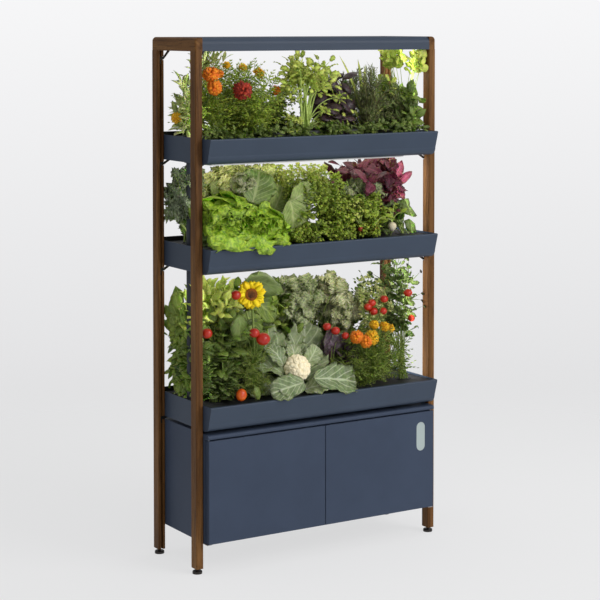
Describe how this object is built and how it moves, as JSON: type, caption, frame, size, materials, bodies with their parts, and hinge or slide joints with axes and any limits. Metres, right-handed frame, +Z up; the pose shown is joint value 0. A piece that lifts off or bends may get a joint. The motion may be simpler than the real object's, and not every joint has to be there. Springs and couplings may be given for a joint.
{
  "type": "indoor hydroponic garden",
  "caption": "Floor-standing wooden rack with a light hood over planted water trays and a cabinet with doors below for the tank and pump.",
  "frame": {"origin": "centre of the whole object's base: the floor under the middle of the frame and of the depth from tray lips to rear posts", "axes": "+Z up, -Y towards the front with the doors and tray lips, +X to the right seen from the front"},
  "size_m": [0.92, 0.344, 1.677],
  "materials": {
    "walnut": "oiled walnut, long grain",
    "navy_metal": "satin powder coat, dark blue-grey",
    "navy_board": "board with a satin lacquer, dark blue-grey",
    "black_plastic": "fine matt texture",
    "navy_pipe": "smooth matt pipe, dark blue-grey",
    "steel": "zinc plated, dull",
    "foot_metal": "black oxide",
    "lamp_aluminium": "anodised",
    "lamp_diffuser": "opal, translucent",
    "window_frost": "frosted lens",
    "tank_plastic": "natural translucent tank plastic",
    "float_plastic": "closed foam float",
    "leaf_green": "live leaves, mid green",
    "leaf_light": "live leaves, bright yellow-green",
    "leaf_blue": "live leaves, blue-green bloom",
    "leaf_dark": "live leaves, dark glossy green",
    "leaf_purple": "live leaves, purple-black to maroon"
  },
  "bodies": {
    "root": {"post_front_left": "walnut", "post_front_right": "walnut", "post_rear_left": "walnut", "post_rear_right": "walnut", "top_rail_left": "walnut", "top_rail_right": "walnut", "light_hood": "navy_metal", "tray_upper": "navy_metal", "tray_middle": "navy_metal", "tray_lower": "navy_metal", "cabinet_top": "navy_board", "cabinet_side_left": "navy_board", "cabinet_side_right": "navy_board", "cabinet_floor": "navy_board", "cabinet_back": "navy_board", "tray_cover_upper": "black_plastic", "tray_cover_middle": "black_plastic", "tray_cover_lower": "black_plastic", "net_cups": "black_plastic", "pump_body": "black_plastic", "power_inlet": "black_plastic", "drain_pipes": "navy_pipe", "riser_pipe": "navy_pipe", "control_hub": "navy_pipe", "foot_inserts": "steel", "cabinet_screws": "steel", "shelf_hooks": "steel", "door_hinges": "steel", "light_bars": "lamp_aluminium", "light_diffusers": "lamp_diffuser", "water_tank": "tank_plastic", "tank_lid": "tank_plastic", "marigold_plant": "leaf_green", "celery_plant": "leaf_green", "parsley_plant": "leaf_green", "pepper_plant": "leaf_green", "basil_plant": "leaf_green", "calendula_plant": "leaf_green", "tomato_plant": "leaf_green", "sunflower_plant": "leaf_green", "lettuce_plant": "leaf_light", "nasturtium_plant": "leaf_light", "kale_plants": "leaf_blue", "leafy_plants": "leaf_blue", "cauliflower_plant": "leaf_blue", "rosemary_plant": "leaf_dark", "radish_plants": "leaf_dark", "purple_basil_plant": "leaf_purple", "amaranth_plant": "leaf_purple"},
    "left_door": {"door_left": "navy_board"},
    "right_door": {"door_right": "navy_board", "level_window": "window_frost"},
    "front_left_foot": {"foot_front_left": "foot_metal"},
    "front_right_foot": {"foot_front_right": "foot_metal"},
    "rear_left_foot": {"foot_rear_left": "foot_metal"},
    "rear_right_foot": {"foot_rear_right": "foot_metal"},
    "push_button": {"hub_button": "black_plastic"},
    "float_ring": {"level_float": "float_plastic"},
    "impeller": {"pump_impeller": "black_plastic"}
  },
  "joints": [
    {"name": "left_door_hinge", "type": "hinge", "parent": "root", "child": "left_door", "pos_m": [-0.424, -0.141, 0.26], "axis": [0, 0, -1], "range_deg": [0, 100]},
    {"name": "right_door_hinge", "type": "hinge", "parent": "root", "child": "right_door", "pos_m": [0.424, -0.141, 0.26], "axis": [0, 0, 1], "range_deg": [0, 100]},
    {"name": "front_left_foot_height", "type": "slide", "parent": "root", "child": "front_left_foot", "axis": [0, 0, -1], "range_m": [0, 0.01]},
    {"name": "front_right_foot_height", "type": "slide", "parent": "root", "child": "front_right_foot", "axis": [0, 0, -1], "range_m": [0, 0.01]},
    {"name": "rear_left_foot_height", "type": "slide", "parent": "root", "child": "rear_left_foot", "axis": [0, 0, -1], "range_m": [0, 0.01]},
    {"name": "rear_right_foot_height", "type": "slide", "parent": "root", "child": "rear_right_foot", "axis": [0, 0, -1], "range_m": [0, 0.01]},
    {"name": "button_press", "type": "slide", "parent": "root", "child": "push_button", "axis": [0, 1, 0], "range_m": [0, 0.0015], "stiffness_N_per_m": 400},
    {"name": "float_rise", "type": "slide", "parent": "root", "child": "float_ring", "axis": [0, 0, 1], "range_m": [0, 0.137]},
    {"name": "impeller_spin", "type": "hinge", "parent": "root", "child": "impeller", "pos_m": [-0.337, 0.088, 0.139], "axis": [0, 1, 0], "continuous": true}
  ]
}
